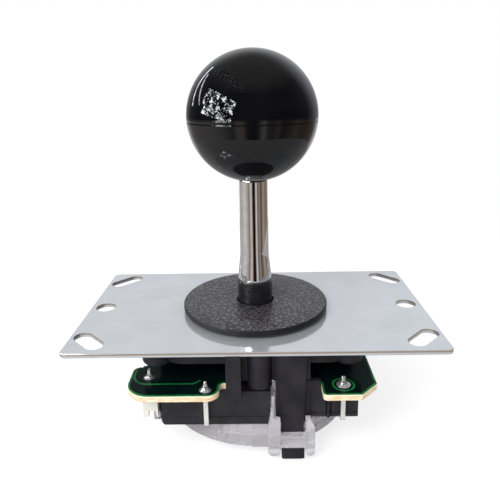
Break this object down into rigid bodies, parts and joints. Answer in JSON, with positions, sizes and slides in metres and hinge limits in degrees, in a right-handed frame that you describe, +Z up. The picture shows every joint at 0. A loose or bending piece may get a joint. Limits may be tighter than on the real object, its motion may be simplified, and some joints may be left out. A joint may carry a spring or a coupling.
{
  "type": "arcade joystick lever",
  "caption": "Ball-top arcade joystick lever on a slotted steel plate, with a moulded housing, circuit board, microswitches and a clipped-on round restrictor gate.",
  "frame": {"origin": "centre of the mounting plate's top face, on the lever's axis", "axes": "+X to the right along the plate's long side, +Y to the back, +Z up along the lever"},
  "size_m": [0.095, 0.059, 0.1005],
  "materials": {
    "zinc_plate": "smooth bright zinc plating, satin",
    "screw_steel": "plain steel",
    "washer_black": "fine leather grain, slightly glossy",
    "ball_black": "polished, deep gloss",
    "insert_brass": "plain turned",
    "shaft_chrome": "bright plated, mirror-like",
    "pivot_black": "smooth moulded",
    "housing_black": "fine matte moulded",
    "board_green": "green lacquer over tan laminate edges",
    "solder": "bright, slightly uneven",
    "header_white": "smooth moulded",
    "tinned_pins": "bright tin",
    "tinned_blades": "bright tin",
    "seat_grey": "smooth moulded",
    "spring_steel": "drawn wire",
    "actuator_black": "smooth moulded",
    "ring_steel": "blanked spring steel",
    "gate_clear": "cloudy translucent moulding, greyish lavender",
    "switch_black": "fine matte moulded",
    "plunger_dark": "smooth moulded"
  },
  "bodies": {
    "base": {"mounting_plate": "zinc_plate", "plate_screws": "screw_steel", "housing": "housing_black", "circuit_board": "board_green", "solder_joints": "solder", "connector_header": "header_white", "connector_pins": "tinned_pins", "restrictor_gate": "gate_clear", "switch_case_front": "switch_black", "switch_cover_front": "switch_black", "switch_terminals_front": "tinned_blades", "switch_case_right": "switch_black", "switch_cover_right": "switch_black", "switch_terminals_right": "tinned_blades", "switch_case_back": "switch_black", "switch_cover_back": "switch_black", "switch_terminals_back": "tinned_blades", "switch_case_left": "switch_black", "switch_cover_left": "switch_black", "switch_terminals_left": "tinned_blades"},
    "spring_carrier": {"spring_seat": "seat_grey", "centering_spring": "spring_steel"},
    "lever": {"pivot": "pivot_black", "actuator": "actuator_black"},
    "stick": {"lever_shaft": "shaft_chrome", "ball_top": "ball_black", "ball_insert": "insert_brass", "e_ring": "ring_steel"},
    "washer": {"dust_washer": "washer_black"},
    "plunger_front": {"switch_plunger_front": "plunger_dark"},
    "plunger_right": {"switch_plunger_right": "plunger_dark"},
    "plunger_back": {"switch_plunger_back": "plunger_dark"},
    "plunger_left": {"switch_plunger_left": "plunger_dark"}
  },
  "joints": [
    {"name": "tilt_direction", "type": "hinge", "parent": "base", "child": "spring_carrier", "pos_m": [0, 0, -0.004], "axis": [0, 0, 1], "continuous": true},
    {"name": "lever_tilt", "type": "hinge", "parent": "spring_carrier", "child": "lever", "pos_m": [0, 0, -0.004], "axis": [0, 1, 0], "range_deg": [-10, 10], "stiffness_Nm_per_rad": 0.6, "deforming": ["centering_spring"]},
    {"name": "lever_spin", "type": "hinge", "parent": "lever", "child": "stick", "pos_m": [0, 0, -0.004], "axis": [0, 0, 1], "continuous": true},
    {"name": "washer_slide", "type": "slide", "parent": "spring_carrier", "child": "washer", "axis": [1, 0, 0], "range_m": [-0.00105, 0.00105]},
    {"name": "press_front", "type": "slide", "parent": "base", "child": "plunger_front", "axis": [0, -1, 0], "range_m": [0, 0.001], "stiffness_N_per_m": 300, "springref_m": -0.0015},
    {"name": "press_right", "type": "slide", "parent": "base", "child": "plunger_right", "axis": [1, 0, 0], "range_m": [0, 0.001], "stiffness_N_per_m": 300, "springref_m": -0.0015},
    {"name": "press_back", "type": "slide", "parent": "base", "child": "plunger_back", "axis": [0, 1, 0], "range_m": [0, 0.001], "stiffness_N_per_m": 300, "springref_m": -0.0015},
    {"name": "press_left", "type": "slide", "parent": "base", "child": "plunger_left", "axis": [-1, 0, 0], "range_m": [0, 0.001], "stiffness_N_per_m": 300, "springref_m": -0.0015}
  ],
  "couplings": [
    {"joint": "washer_slide", "follows": "lever_tilt", "m_per_rad": 0.005658}
  ]
}
